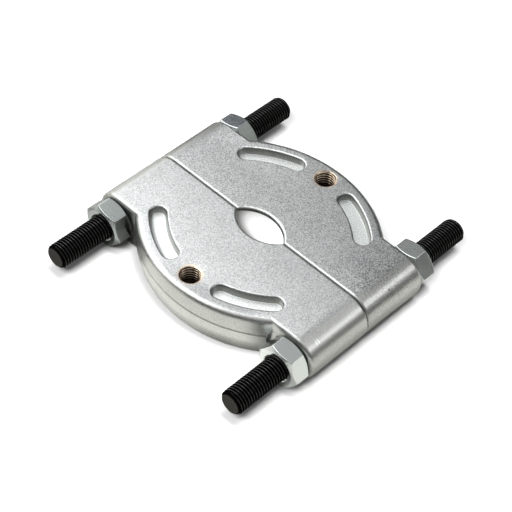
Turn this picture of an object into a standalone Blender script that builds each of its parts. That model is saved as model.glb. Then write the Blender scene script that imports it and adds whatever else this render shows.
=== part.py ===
"""A bearing separator: two forged halves that slide on two studs and are drawn together by four nuts.

Metres, +Z up. The origin is at the bottom centre of the closed tool. The studs lie along Y,
the split between the halves lies along X, and the tool rests on its underside.

Each half is one forging: a bar across both studs with fully round ends, and a round plate
that bulges out from the bar. The knife-edged opening, the threaded pull hole, the two
shallow pockets, the stud bores and the seats for the nuts are cut into it.
"""
import math

import bmesh
import bpy
from mathutils import Matrix

MM = 0.001

# Clearance between pieces that touch on the real tool
SEAT_GAP = 0.3 * MM

# The studs
STUD_DIAMETER = 16.0 * MM
STUD_LENGTH = 196.0 * MM
STUD_SPACING = 148.0 * MM
STUD_END_CHAMFER = 1.6 * MM

# The bar of each half
THICKNESS = 32.0 * MM
LUG_DEPTH = 48.0 * MM
SPLIT_GAP = 0.4 * MM
LUG_EDGE_FILLET = 2.5 * MM
SPLIT_EDGE_FILLET = 1.5 * MM
BORE_CLEARANCE = 0.4 * MM
BORE_CHAMFER = 0.8 * MM
SEAT_RADIUS = 18.5 * MM
SEAT_DEPTH = 0.4 * MM

# The round plate of each half
RIM_RADIUS = 86.8 * MM
RIM_DEPTH = 70.1 * MM
RIM_FILLET = 4.0 * MM
PARTING_HEIGHT = 19.2 * MM
PARTING_RIDGE = 0.35 * MM
WALL_DRAFT = math.radians(3)
FOOT_HEIGHT = 11.5 * MM
FOOT_DRAFT = math.radians(9)
FOOT_FILLET = 4.0 * MM

# The opening that closes behind a bearing
OPENING_LENGTH = 38.6 * MM
OPENING_WIDTH = 20.0 * MM
OPENING_FILLET = 1.9 * MM
KNIFE_LAND = 0.6 * MM
RELIEF_ANGLE = math.radians(45)

# The pull hole, cut at the inner diameter of its thread
PULL_HOLE_DISTANCE = 57.6 * MM
PULL_HOLE_DIAMETER = 12.2 * MM
PULL_HOLE_CHAMFER = 1.0 * MM

# The curved pockets beside the pull hole
POCKET_RADIUS = 71.0 * MM
POCKET_CENTRE = 14.0 * MM
POCKET_WIDTH = 11.0 * MM
POCKET_DEPTH = 5.0 * MM
POCKET_DRAFT = math.radians(9)
POCKET_EDGE = 0.8 * MM
POCKET_START = math.radians(17.3)
POCKET_END = math.radians(43.8)

# The nuts, and where one corner of each happens to stand, turned from +X towards +Z
NUT_ACROSS_FLATS = 27.0 * MM
NUT_HEIGHT = 13.0 * MM
NUT_FACE_DIAMETER = 24.4 * MM
NUT_CHAMFER_ANGLE = math.radians(30)
NUT_MOUTH_CHAMFER = 0.7 * MM
NUT_CLEARANCE = 0.3 * MM
NUT_TURNS = {
    "near_left_nut": math.radians(47.1),
    "near_right_nut": math.radians(51.4),
    "far_left_nut": math.radians(13.3),
    "far_right_nut": math.radians(5.1),
}

# How far a cutter reaches past the face that it cuts
OVERCUT = 2.0 * MM
# Blender's own merge distances suit larger scenes
MERGE = 0.00001

# Facets round the curved surfaces
ROUND_STEPS = 48
RIM_STEPS = 144
OPENING_STEPS = 72
END_STEPS = 20
FILLET_STEPS = 3
POCKET_STEPS = 10
POCKET_END_STEPS = 6
# Edges that turn more than this are shaded sharp
SHARP_ANGLE = math.radians(30)

# What follows from the sizes above
STUD_X = STUD_SPACING / 2
STUD_HEIGHT = THICKNESS / 2
STUD_RADIUS = STUD_DIAMETER / 2
PLATE_CENTRE = RIM_RADIUS - RIM_DEPTH
OPENING_RADIUS = (OPENING_LENGTH ** 2 + OPENING_WIDTH ** 2) / (4 * OPENING_WIDTH)
OPENING_CENTRE = OPENING_RADIUS - OPENING_WIDTH / 2
NUT_SEAT = LUG_DEPTH + SEAT_GAP


def clear_scene():
    """Remove every object, so that the script gives the same model each run."""
    for old in list(bpy.data.objects):
        bpy.data.objects.remove(old, do_unlink=True)


def new_collection(name):
    collection = bpy.data.collections.new(name)
    bpy.context.scene.collection.children.link(collection)
    return collection


def material(name, colour, roughness, metallic):
    """A Principled BSDF with the part's colour, roughness and metallic value."""
    made = bpy.data.materials.new(name)
    made.use_nodes = True
    shader = made.node_tree.nodes["Principled BSDF"]
    shader.inputs["Base Color"].default_value = (*colour, 1.0)
    shader.inputs["Roughness"].default_value = roughness
    shader.inputs["Metallic"].default_value = metallic
    return made


def add_object(name, mesh, collection, place=Matrix.Identity(4)):
    piece = bpy.data.objects.new(name, mesh)
    piece.matrix_world = place
    collection.objects.link(piece)
    return piece


def as_cutter(piece):
    """A cutter is shown as wires and never rendered or built."""
    piece.hide_render = True
    piece.display_type = "WIRE"
    return piece


def evaluated_mesh(piece):
    """The mesh of an object with its modifiers applied, welded where they leave loose caps."""
    bpy.context.view_layer.update()
    graph = bpy.context.evaluated_depsgraph_get()
    mesh = bpy.data.meshes.new_from_object(piece.evaluated_get(graph))
    work = bmesh.new()
    work.from_mesh(mesh)
    bmesh.ops.remove_doubles(work, verts=work.verts, dist=MERGE)
    bmesh.ops.recalc_face_normals(work, faces=work.faces)
    work.to_mesh(mesh)
    work.free()
    return mesh


def arc(centre, radius, start, end, steps):
    """Points on a circle from one angle to another, both ends included."""
    turns = [start + (end - start) * i / steps for i in range(steps + 1)]
    return [(centre[0] + radius * math.cos(a), centre[1] + radius * math.sin(a)) for a in turns]


def turned(name, profile, steps, collection, place=Matrix.Identity(4)):
    """A solid of revolution about its Z axis.

    The profile is a list of (radius, height) pairs that runs from the top to the bottom
    of the outer side and starts and ends on the axis.
    """
    mesh = bpy.data.meshes.new(name)
    edges = [(i, i + 1) for i in range(len(profile) - 1)]
    mesh.from_pydata([(radius, 0.0, height) for radius, height in profile], edges, [])
    piece = add_object(name, mesh, collection, place)
    screw = piece.modifiers.new("turn", "SCREW")
    screw.steps = steps
    screw.render_steps = steps
    screw.use_merge_vertices = True
    screw.merge_threshold = MERGE
    return piece


def extruded(name, outline, start, end, collection, place=Matrix.Identity(4)):
    """A flat outline in the XY plane, drawn out along Z from start to end."""
    rings = [[(x, y, height) for x, y in outline] for height in (start, end)]
    return lofted(name, rings, collection, place)


def lofted(name, rings, collection, place=Matrix.Identity(4)):
    """A closed solid through rings of equally many points, capped at both ends."""
    work = bmesh.new()
    loops = [[work.verts.new(point) for point in ring] for ring in rings]
    for lower, upper in zip(loops, loops[1:]):
        for i in range(len(lower)):
            j = (i + 1) % len(lower)
            work.faces.new((lower[i], lower[j], upper[j], upper[i]))
    work.faces.new(loops[0])
    work.faces.new(loops[-1])
    bmesh.ops.recalc_face_normals(work, faces=work.faces)
    mesh = bpy.data.meshes.new(name)
    work.to_mesh(mesh)
    work.free()
    return add_object(name, mesh, collection, place)


def combine(piece, other, operation):
    """Add a Boolean modifier with the exact solver."""
    cut = piece.modifiers.new(operation.lower(), "BOOLEAN")
    cut.operation = operation
    cut.solver = "EXACT"
    cut.object = other


def shade(mesh):
    """Smooth shading, with a sharp edge wherever two faces meet at a clear angle."""
    mesh.shade_smooth()
    mesh.set_sharp_from_angle(angle=SHARP_ANGLE)


def add_piece(name, mesh, collection, place=Matrix.Identity(4)):
    """One real piece of the tool, its large faces shaded flat."""
    piece = add_object(name, mesh, collection, place)
    flat = piece.modifiers.new("flat_faces", "WEIGHTED_NORMAL")
    flat.keep_sharp = True
    return piece


def half_bar(cutters):
    """The bar of the near half: a full-round outline seen along Y, with rounded edges.

    Its outer face stands proud of the nut seats, which are cut into it afterwards.
    """
    radius = THICKNESS / 2
    right = arc((STUD_X, STUD_HEIGHT), radius, -math.pi / 2, math.pi / 2, END_STEPS)
    left = arc((-STUD_X, STUD_HEIGHT), radius, math.pi / 2, 3 * math.pi / 2, END_STEPS)
    # The outline's Z axis is turned onto -Y, away from the split
    upright = Matrix.Rotation(math.pi / 2, 4, "X")
    inner = SPLIT_GAP / 2
    outer = LUG_DEPTH + SEAT_DEPTH
    bar = extruded("half_bar", right + left, inner, outer, cutters, upright)

    weights = bar.data.attributes.new("bevel_weight_edge", "FLOAT", "EDGE")
    for edge in bar.data.edges:
        ends = [bar.data.vertices[i].co.z for i in edge.vertices]
        if min(ends) > outer - MERGE:
            weights.data[edge.index].value = 1.0
        elif max(ends) < inner + MERGE:
            weights.data[edge.index].value = SPLIT_EDGE_FILLET / LUG_EDGE_FILLET
    rounding = bar.modifiers.new("edges", "BEVEL")
    rounding.limit_method = "WEIGHT"
    rounding.width = LUG_EDGE_FILLET
    rounding.segments = FILLET_STEPS
    rounding.use_clamp_overlap = False
    return bar


def wall_radius(height):
    """Radius of the plate's forged wall, which drafts outwards from the rim to the parting line."""
    widest = RIM_RADIUS + math.tan(WALL_DRAFT) * (THICKNESS - RIM_FILLET - PARTING_HEIGHT)
    radius = widest - math.tan(WALL_DRAFT) * abs(height - PARTING_HEIGHT)
    if height < FOOT_HEIGHT:
        radius -= math.tan(FOOT_DRAFT) * (FOOT_HEIGHT - height)
    return radius


def rounded_corner(wall, edge, radius, top):
    """Points round the corner between a vertical wall and a flat top or bottom face."""
    side = 1 if top else -1
    centre = (wall - radius, edge - side * radius)
    start, end = (math.pi / 2, 0.0) if top else (0.0, -math.pi / 2)
    return arc(centre, radius, start, end, FILLET_STEPS + 1)


def half_plate(cutters):
    """The round plate of the near half, turned about its own centre beyond the split."""
    foot = wall_radius(FOOT_FILLET)
    ridge = PARTING_RIDGE
    profile = [(0.0, THICKNESS)]
    profile += rounded_corner(RIM_RADIUS, THICKNESS, RIM_FILLET, True)
    profile += [
        (wall_radius(PARTING_HEIGHT + ridge), PARTING_HEIGHT + ridge),
        (wall_radius(PARTING_HEIGHT) + ridge, PARTING_HEIGHT),
        (wall_radius(PARTING_HEIGHT - ridge), PARTING_HEIGHT - ridge),
        (wall_radius(FOOT_HEIGHT), FOOT_HEIGHT),
    ]
    profile += rounded_corner(foot, 0.0, FOOT_FILLET, False)
    profile += [(0.0, 0.0)]
    place = Matrix.Translation((0.0, PLATE_CENTRE, 0.0))
    plate = turned("half_plate", profile, RIM_STEPS, cutters, place)

    # Only what lies beyond the middle of the bar is kept
    reach = RIM_RADIUS + OVERCUT
    keep = [(-reach, -LUG_DEPTH / 2), (-reach, -reach), (reach, -reach), (reach, -LUG_DEPTH / 2)]
    beyond = extruded("plate_limit", keep, -OVERCUT, THICKNESS + OVERCUT, cutters)
    combine(plate, as_cutter(beyond), "INTERSECT")
    return plate


def opening_cutter(cutters):
    """The near half's share of the opening: a rounded edge, a narrow land and a wide relief."""
    land_top = THICKNESS - OPENING_FILLET
    land_foot = land_top - KNIFE_LAND
    relief = OPENING_RADIUS + math.tan(RELIEF_ANGLE) * (land_foot + OVERCUT)
    lip = arc((OPENING_RADIUS + OPENING_FILLET, land_top), OPENING_FILLET,
              math.pi / 2, math.pi, FILLET_STEPS + 1)
    profile = [(0.0, THICKNESS + OVERCUT), (OPENING_RADIUS + OPENING_FILLET, THICKNESS + OVERCUT)]
    profile += lip
    profile += [(OPENING_RADIUS, land_foot), (relief, -OVERCUT), (0.0, -OVERCUT)]
    place = Matrix.Translation((0.0, OPENING_CENTRE, 0.0))
    return turned("opening_cutter", profile, OPENING_STEPS, cutters, place)


def pull_hole_cutter(cutters):
    """The through hole for a pull screw, with a chamfer at each mouth."""
    radius = PULL_HOLE_DIAMETER / 2
    mouth = radius + PULL_HOLE_CHAMFER
    profile = [
        (0.0, THICKNESS + OVERCUT),
        (mouth, THICKNESS + OVERCUT),
        (mouth, THICKNESS),
        (radius, THICKNESS - PULL_HOLE_CHAMFER),
        (radius, PULL_HOLE_CHAMFER),
        (mouth, 0.0),
        (mouth, -OVERCUT),
        (0.0, -OVERCUT),
    ]
    place = Matrix.Translation((0.0, -PULL_HOLE_DISTANCE, 0.0))
    return turned("pull_hole_cutter", profile, ROUND_STEPS, cutters, place)


def pocket_outline(side, widen, height):
    """A curved slot round the plate's centre: two arcs joined by round ends."""
    half = POCKET_WIDTH / 2 + widen
    centre = (0.0, POCKET_CENTRE)
    start = -math.pi / 2 + side * POCKET_START
    end = -math.pi / 2 + side * POCKET_END
    first = arc(centre, POCKET_RADIUS, start, start, 1)[0]
    last = arc(centre, POCKET_RADIUS, end, end, 1)[0]
    outer = arc(centre, POCKET_RADIUS + half, start, end, POCKET_STEPS)
    inner = arc(centre, POCKET_RADIUS - half, end, start, POCKET_STEPS)
    far_end = arc(last, half, end, end + side * math.pi, POCKET_END_STEPS)
    near_end = arc(first, half, start + side * math.pi, start + side * 2 * math.pi, POCKET_END_STEPS)
    outline = outer + far_end[1:-1] + inner + near_end[1:-1]
    return [(x, y, height) for x, y in outline]


def pocket_cutter(side, cutters):
    """A shallow pocket with drafted walls, a rounded edge at the top and at the floor."""
    floor = THICKNESS - POCKET_DEPTH
    slope = math.tan(POCKET_DRAFT)
    levels = [(THICKNESS + OVERCUT, POCKET_EDGE), (THICKNESS, POCKET_EDGE)]
    for i in range(1, FILLET_STEPS + 1):
        turn = math.pi / 2 * i / FILLET_STEPS
        levels.append((THICKNESS - POCKET_EDGE * (1 - math.cos(turn)), POCKET_EDGE * (1 - math.sin(turn))))
    levels.append((floor + POCKET_EDGE, -slope * (POCKET_DEPTH - 2 * POCKET_EDGE)))
    levels.append((floor, -slope * POCKET_DEPTH - POCKET_EDGE / 2))
    rings = [pocket_outline(side, widen, height) for height, widen in levels]
    return lofted("pocket_cutter", rings, cutters)


def bore_cutters(side, cutters):
    """The bore for one stud and the round seat that the nut turns on."""
    along = Matrix.Translation((side * STUD_X, 0.0, STUD_HEIGHT)) @ Matrix.Rotation(math.pi / 2, 4, "X")
    radius = STUD_RADIUS + BORE_CLEARANCE
    mouth = radius + BORE_CHAMFER
    bore = [
        (0.0, LUG_DEPTH + OVERCUT),
        (mouth, LUG_DEPTH + OVERCUT),
        (mouth, LUG_DEPTH),
        (radius, LUG_DEPTH - BORE_CHAMFER),
        (radius, -OVERCUT),
        (0.0, -OVERCUT),
    ]
    top = RIM_DEPTH + OVERCUT
    seat = [(0.0, top), (SEAT_RADIUS, top), (SEAT_RADIUS, LUG_DEPTH), (0.0, LUG_DEPTH)]
    return [
        turned("bore_cutter", bore, ROUND_STEPS, cutters, along),
        turned("seat_cutter", seat, ROUND_STEPS, cutters, along),
    ]


def half_mesh(cutters):
    """The near half as one welded mesh: bar and plate joined, then everything cut into them."""
    bar = as_cutter(half_bar(cutters))
    plate = as_cutter(half_plate(cutters))
    combine(bar, plate, "UNION")
    tools = [opening_cutter(cutters), pull_hole_cutter(cutters)]
    for side in (-1, 1):
        tools.append(pocket_cutter(side, cutters))
        tools += bore_cutters(side, cutters)
    for tool in tools:
        combine(bar, as_cutter(tool), "DIFFERENCE")
    mesh = evaluated_mesh(bar)
    mesh.transform(bar.matrix_world)
    mesh.name = "half"
    shade(mesh)
    return mesh


def stud_mesh(cutters):
    """A stud along Z, centred on its length, with a chamfer at each end."""
    end = STUD_LENGTH / 2
    tip = STUD_RADIUS - STUD_END_CHAMFER
    shoulder = end - STUD_END_CHAMFER
    profile = [(0.0, end), (tip, end), (STUD_RADIUS, shoulder)]
    profile += [(STUD_RADIUS, -shoulder), (tip, -end), (0.0, -end)]
    stud = as_cutter(turned("stud_blank", profile, ROUND_STEPS, cutters))
    mesh = evaluated_mesh(stud)
    mesh.name = "stud"
    shade(mesh)
    return mesh


def nut_mesh(cutters):
    """A hex nut along Z with its seat at z = 0: six flats, both faces chamfered, and a bore."""
    corner = NUT_ACROSS_FLATS / math.sqrt(3)
    corners = arc((0.0, 0.0), corner, 0.0, 2 * math.pi, 6)[:-1]
    nut = as_cutter(extruded("nut_blank", corners, 0.0, NUT_HEIGHT, cutters))

    # A barrel with conical ends takes the corners off and leaves the flats
    slope = math.tan(NUT_CHAMFER_ANGLE)
    face = NUT_FACE_DIAMETER / 2
    wide = corner + OVERCUT
    drop = (wide - face) * slope
    barrel = [
        (0.0, NUT_HEIGHT),
        (face, NUT_HEIGHT),
        (wide, NUT_HEIGHT - drop),
        (wide, drop),
        (face, 0.0),
        (0.0, 0.0),
    ]
    combine(nut, as_cutter(turned("nut_barrel", barrel, ROUND_STEPS, cutters)), "INTERSECT")

    radius = STUD_RADIUS + NUT_CLEARANCE
    mouth = radius + NUT_MOUTH_CHAMFER
    bore = [
        (0.0, NUT_HEIGHT + OVERCUT),
        (mouth, NUT_HEIGHT + OVERCUT),
        (mouth, NUT_HEIGHT),
        (radius, NUT_HEIGHT - NUT_MOUTH_CHAMFER),
        (radius, NUT_MOUTH_CHAMFER),
        (mouth, 0.0),
        (mouth, -OVERCUT),
        (0.0, -OVERCUT),
    ]
    combine(nut, as_cutter(turned("nut_bore", bore, ROUND_STEPS, cutters)), "DIFFERENCE")
    mesh = evaluated_mesh(nut)
    mesh.name = "nut"
    shade(mesh)
    return mesh


def on_stud(side, distance, end, turn=0.0):
    """Place something that was made along Z on a stud, facing its near (-1) or far (+1) end."""
    spin = -turn if end > 0 else turn
    place = Matrix.Translation((side * STUD_X, end * distance, STUD_HEIGHT))
    return place @ Matrix.Rotation(-end * math.pi / 2, 4, "X") @ Matrix.Rotation(spin, 4, "Z")


def build():
    clear_scene()
    tool = new_collection("bearing_separator")
    cutters = new_collection("cutters")
    near_steel = material("near_half_steel", (0.62, 0.64, 0.64), 0.42, 0.9)
    far_steel = material("far_half_steel", (0.45, 0.46, 0.46), 0.42, 0.9)
    black_steel = material("stud_black_oxide", (0.012, 0.012, 0.013), 0.38, 0.7)
    zinc = material("nut_zinc", (0.50, 0.54, 0.54), 0.25, 1.0)

    half = half_mesh(cutters)
    half.materials.append(near_steel)
    other = half.copy()
    other.materials.clear()
    other.materials.append(far_steel)
    add_piece("near_half", half, tool)
    add_piece("far_half", other, tool, Matrix.Rotation(math.pi, 4, "Z"))

    stud = stud_mesh(cutters)
    stud.materials.append(black_steel)
    for name, side in (("left_stud", -1), ("right_stud", 1)):
        add_piece(name, stud, tool, on_stud(side, 0.0, -1))

    nut = nut_mesh(cutters)
    nut.materials.append(zinc)
    for end_name, end in (("near", -1), ("far", 1)):
        for side_name, side in (("left", -1), ("right", 1)):
            name = f"{end_name}_{side_name}_nut"
            add_piece(name, nut, tool, on_stud(side, NUT_SEAT, end, NUT_TURNS[name]))


build()
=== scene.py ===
# %% [markdown]
# # A bearing separator, lesson by lesson
#
# A bearing separator is a steel plate in two halves. The halves ride on two threaded studs and
# four nuts pull them together, so that the knife edges of the middle opening slip behind a
# bearing that has to come off its shaft. This file dresses the engineering model of one: it
# makes the finely shaped surfaces, the finishes, the floor, the light and the camera.
#
# Every length is written in millimetres and turned to Blender's metres where a mesh is made,
# apart from the few whose names end in _M, which are metres.

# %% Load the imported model
import math

import bmesh
import bpy
import numpy as np
from mathutils import Matrix, Vector


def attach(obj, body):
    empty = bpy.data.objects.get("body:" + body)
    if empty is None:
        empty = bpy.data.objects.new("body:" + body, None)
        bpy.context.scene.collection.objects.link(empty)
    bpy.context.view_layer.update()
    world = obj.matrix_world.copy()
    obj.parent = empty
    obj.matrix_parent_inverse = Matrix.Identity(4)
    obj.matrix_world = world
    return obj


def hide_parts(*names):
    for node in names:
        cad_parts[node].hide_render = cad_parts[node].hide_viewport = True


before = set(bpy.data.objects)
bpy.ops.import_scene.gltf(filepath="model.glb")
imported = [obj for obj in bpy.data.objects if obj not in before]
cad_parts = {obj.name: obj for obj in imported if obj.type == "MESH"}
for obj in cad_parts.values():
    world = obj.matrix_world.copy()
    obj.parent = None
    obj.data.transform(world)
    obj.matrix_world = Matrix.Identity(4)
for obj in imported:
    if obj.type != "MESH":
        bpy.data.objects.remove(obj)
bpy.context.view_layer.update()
MM = 0.001

# %% [markdown]
# ## The camera
#
# The view is a product shot from the front right and well above. A camera is placed by where it
# looks from: an azimuth round the object, an elevation over the floor, a distance, and a small
# roll that tips the picture. From those angles come three unit vectors, which are the columns of
# the camera's rotation: to the right, up, and back towards the camera.

# %% Place the camera
AZIMUTH = math.radians(41.34)
ELEVATION = math.radians(48.16)
ROLL = math.radians(4.43)
DISTANCE_MM = 979.8
TARGET_MM = (-3.20, 2.10, 0.0)
FOCAL_PIXELS = 1592.0
PICTURE_PIXELS = 512
SENSOR_MM = 36.0
NEAREST_M = 0.01


def camera_axes(azimuth, elevation, roll):
    """Right, up and back as unit vectors; back points from the target to the camera."""
    back = Vector((
        math.sin(azimuth) * math.cos(elevation),
        -math.cos(azimuth) * math.cos(elevation),
        math.sin(elevation),
    ))
    level = Vector((0.0, 0.0, 1.0)).cross(back).normalized()
    upright = back.cross(level)
    right = level * math.cos(roll) + upright * math.sin(roll)
    up = upright * math.cos(roll) - level * math.sin(roll)
    return right, up, back


right, up, back = camera_axes(AZIMUTH, ELEVATION, ROLL)
camera_data = bpy.data.cameras.new("product_camera")
camera_data.sensor_width = SENSOR_MM
camera_data.lens = FOCAL_PIXELS / PICTURE_PIXELS * SENSOR_MM
camera_data.clip_start = NEAREST_M
camera = bpy.data.objects.new("product_camera", camera_data)
place = Matrix((right, up, back)).transposed().to_4x4()
place.translation = (Vector(TARGET_MM) + back * DISTANCE_MM) * MM
camera.matrix_world = place
bpy.context.scene.collection.objects.link(camera)
bpy.context.scene.camera = camera
bpy.context.scene.view_settings.view_transform = "Standard"
print("lens", round(camera_data.lens, 1), "mm")

# %% [markdown]
# ## A clean mesh
#
# Light and the Boolean tool both rely on a mesh that is closed, with its faces outwards. The
# points of poles and seams lie on each other, so they are welded first, and Blender then turns
# the faces, which is surer than to think of the right order of corners each time.

# %% Weld and turn outwards
WELD_MM = 0.002


def outward(name, mesh):
    """Weld a mesh, turn its faces outwards and give it an object at the origin."""
    work = bmesh.new()
    work.from_mesh(mesh)
    bmesh.ops.remove_doubles(work, verts=work.verts, dist=WELD_MM * MM)
    bmesh.ops.recalc_face_normals(work, faces=work.faces)
    work.to_mesh(mesh)
    work.free()
    piece = bpy.data.objects.new(name, mesh)
    bpy.context.scene.collection.objects.link(piece)
    return piece


print("points closer than", WELD_MM, "mm are welded")

# %% [markdown]
# ## From a grid of points to a mesh
#
# Most pieces here are skins: a grid of points worked out as one numpy array, rows by columns,
# whose columns close into rings. Modelling by hand would also work, but a formula gives a thread
# or a chamfer its exact size. One function turns such a grid into a mesh.

# %% Turn a grid of points into a mesh object


def skin(name, rings, capped=True):
    """A closed solid from an array of shape (rows, columns, 3) in millimetres.

    Each row is a ring, and neighbouring rings are joined by quads. The first and the last ring
    are closed by flat caps, or they are the same ring where the solid is a ring itself.
    """
    rows, columns = rings.shape[:2]
    index = np.arange(rows * columns).reshape(rows, columns)
    following = np.roll(index, -1, axis=1)
    quads = np.stack([index[:-1], following[:-1], following[1:], index[1:]], axis=-1)
    faces = quads.reshape(-1, 4).tolist()
    if capped:
        faces += [index[0].tolist(), index[-1].tolist()]
    mesh = bpy.data.meshes.new(name)
    mesh.from_pydata((rings.reshape(-1, 3) * MM).tolist(), [], faces)
    return outward(name, mesh)


print("a skin has rows - 1 bands of quads, and two caps")

# %% [markdown]
# ## The bar of a forged half
#
# Each half is one drop forging, zinc plated after a light blast: a bar with full-round ends
# across both studs, and a round plate that bulges out of it. A box with a bevel would give the
# bar flat ends, so it is made as a stadium outline carried along the stud direction, and drawn
# in a little at both ends to round its edges.

# %% Carry the stadium outline along the studs
THICKNESS = 32.0
STUD_X = 74.0
STUD_Z = THICKNESS / 2
LUG_DEPTH = 48.0
SPLIT_GAP = 0.4
LUG_FILLET = 2.5
SPLIT_FILLET = 1.5


def inset_profile(start, end, start_fillet, end_fillet, steps):
    """(inset, distance) pairs along the bar: a quarter round at each end, straight between."""
    turn = np.linspace(0.0, math.pi / 2, steps + 1)
    first = np.stack([start_fillet * (1 - np.sin(turn)), start + start_fillet * (1 - np.cos(turn))], -1)
    last = np.stack([end_fillet * (1 - np.cos(turn)), end - end_fillet * (1 - np.sin(turn))], -1)
    return np.concatenate([first, last])


def half_bar(end_steps=40, fillet_steps=8):
    """Ring i is the stadium outline drawn in by its inset, at y = -distance."""
    right_turn = np.linspace(-math.pi / 2, math.pi / 2, end_steps + 1)
    angle = np.concatenate([right_turn, right_turn + math.pi])
    side = np.where(np.arange(angle.size) <= end_steps, 1.0, -1.0)
    inset, distance = inset_profile(SPLIT_GAP / 2, LUG_DEPTH, SPLIT_FILLET, LUG_FILLET, fillet_steps).T
    radius = THICKNESS / 2 - inset[:, None]
    rings = np.stack([
        side * STUD_X + radius * np.cos(angle),
        np.repeat(-distance[:, None], angle.size, axis=1),
        STUD_Z + radius * np.sin(angle),
    ], axis=-1)
    return skin("near_plate", rings)


bar = half_bar()
print("bar:", len(bar.data.polygons), "faces")

# %% [markdown]
# ## The wall of the round plate
#
# A forging has to leave its dies, so its wall leans: 3 degrees outwards from the rim down to the
# parting line, where the dies met, then back inwards, and more so near the foot. At the parting
# line a thin flash of metal stands proud. A profile of radius and height holds all of it.

# %% Work out the profile of the plate
RIM_RADIUS = 86.8
RIM_FILLET = 4.0
PARTING_Z = 19.2
DRAFT = math.tan(math.radians(3))
FOOT_Z = 11.5
FOOT_DRAFT = math.tan(math.radians(9))
FOOT_FILLET = 4.0
FLASH_STANDS = 0.15
FLASH_HALF = 0.12
FLASH_SIDES = (0.35, 0.9)
UPPER_RINGS_Z = (25.0, 22.0)
LOWER_RINGS_Z = (15.0, FOOT_Z + 1, FOOT_Z - 1, 7.0)


def arc(centre, radius, start, end, steps):
    """Points on a circle: centre + radius (cos a, sin a) for steps + 1 angles, as an array."""
    angle = np.linspace(start, end, steps + 1)
    return np.stack([centre[0] + radius * np.cos(angle), centre[1] + radius * np.sin(angle)], axis=-1)


def wall_radius(z):
    """The wall drafts out from the rim to the parting line, and in again towards the foot."""
    widest = RIM_RADIUS + DRAFT * (THICKNESS - RIM_FILLET - PARTING_Z)
    return widest - DRAFT * np.abs(z - PARTING_Z) - FOOT_DRAFT * np.maximum(FOOT_Z - z, 0.0)


def plate_profile(fillet_steps=10):
    """(radius, height) pairs: flat top, round rim, wall with its flash, round foot, flat base."""
    close, clear = FLASH_SIDES
    rim = arc((RIM_RADIUS - RIM_FILLET, THICKNESS - RIM_FILLET), RIM_FILLET,
              math.pi / 2, 0.0, fillet_steps)
    above = np.array([*UPPER_RINGS_Z, PARTING_Z + clear, PARTING_Z + close])
    proud = wall_radius(PARTING_Z) + FLASH_STANDS
    flash = [[proud, PARTING_Z + FLASH_HALF], [proud, PARTING_Z - FLASH_HALF]]
    below = np.array([PARTING_Z - close, PARTING_Z - clear, *LOWER_RINGS_Z])
    foot = arc((wall_radius(FOOT_FILLET) - FOOT_FILLET, FOOT_FILLET), FOOT_FILLET,
               0.0, -math.pi / 2, fillet_steps)
    return np.concatenate([
        [[0.0, THICKNESS]], rim, np.stack([wall_radius(above), above], -1), flash,
        np.stack([wall_radius(below), below], -1), foot, [[0.0, 0.0]],
    ])


print("widest radius:", round(float(plate_profile()[:, 0].max()), 2), "mm")

# %% [markdown]
# ## Turned shapes
#
# Plate, bores and the mill for the opening are all turned shapes: a profile swung about a line.
# Blender's Screw modifier does that too, but the same skin of rings serves here as elsewhere.

# %% Revolve a profile


def revolve(name, profile, steps, centre=(0.0, 0.0), thinnest=0.01):
    """Turn a profile of (radius, height) pairs about a vertical line through centre.

    Point (i, j) is profile i at the angle 2 pi j / steps: x = r cos a, y = r sin a, z = h.
    """
    profile = np.asarray(profile, float)
    angle = np.arange(steps) * 2 * math.pi / steps
    radius = np.maximum(profile[:, :1], thinnest)
    rings = np.stack([
        centre[0] + radius * np.cos(angle),
        centre[1] + radius * np.sin(angle),
        np.repeat(profile[:, 1:], steps, axis=1),
    ], axis=-1)
    return skin(name, rings)


print("plate profile:", len(plate_profile()), "points to turn")

# %% [markdown]
# ## The round plate, joined to the bar
#
# Turning the profile gives the whole round plate, and only the part beyond the middle of the bar
# belongs to this half. Cutting and joining by hand would leave the creases where plate and bar
# meet uneven, so Blender's exact Boolean does both.

# %% Cut and join
PLATE_Y = 16.7
CUT = 2.0


def combined(piece, others, operation):
    """Join or cut with the exact Boolean, others in turn, and keep only the result."""
    for other in others:
        step = piece.modifiers.new(operation.lower(), "BOOLEAN")
        step.operation = operation
        step.solver = "EXACT"
        step.object = other
    bpy.context.view_layer.update()
    ready = piece.evaluated_get(bpy.context.evaluated_depsgraph_get())
    mesh = bpy.data.meshes.new_from_object(ready)
    name = piece.name
    for used in [piece, *others]:
        bpy.data.objects.remove(used, do_unlink=True)
    return outward(name, mesh)


def round_plate(steps=360):
    """The revolved plate, of which a block keeps only what lies beyond the middle of the bar."""
    plate = revolve("round_plate", plate_profile(), steps, (0.0, PLATE_Y))
    reach = RIM_RADIUS + CUT
    middle = -LUG_DEPTH / 2
    corners = np.array([[-reach, middle], [-reach, -reach], [reach, -reach], [reach, middle]])
    block = np.stack([np.column_stack([corners, np.full(4, z)]) for z in (-CUT, THICKNESS + CUT)])
    return combined(plate, [skin("beyond_bar", block)], "INTERSECT")


near_plate = combined(bar, [round_plate()], "UNION")
print("joined forging:", len(near_plate.data.polygons), "faces")

# %% [markdown]
# ## The opening
#
# Seen from above, the closed opening is a lens: two arcs of one circle that meet on the split.
# Under a rounded lip and a narrow land the metal falls away as a wide cone, which is what makes
# the edge a knife. The mill that cuts it is a turned shape, so the tool here is revolved too.

# %% A tool for the opening
LENS_HALF_LENGTH = 19.3
LENS_HALF_WIDTH = 10.0
LENS_LIP = 1.9
KNIFE_LAND = 0.6
LENS_RADIUS = (LENS_HALF_LENGTH ** 2 + LENS_HALF_WIDTH ** 2) / (2 * LENS_HALF_WIDTH)
LENS_Y = LENS_RADIUS - LENS_HALF_WIDTH


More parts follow.
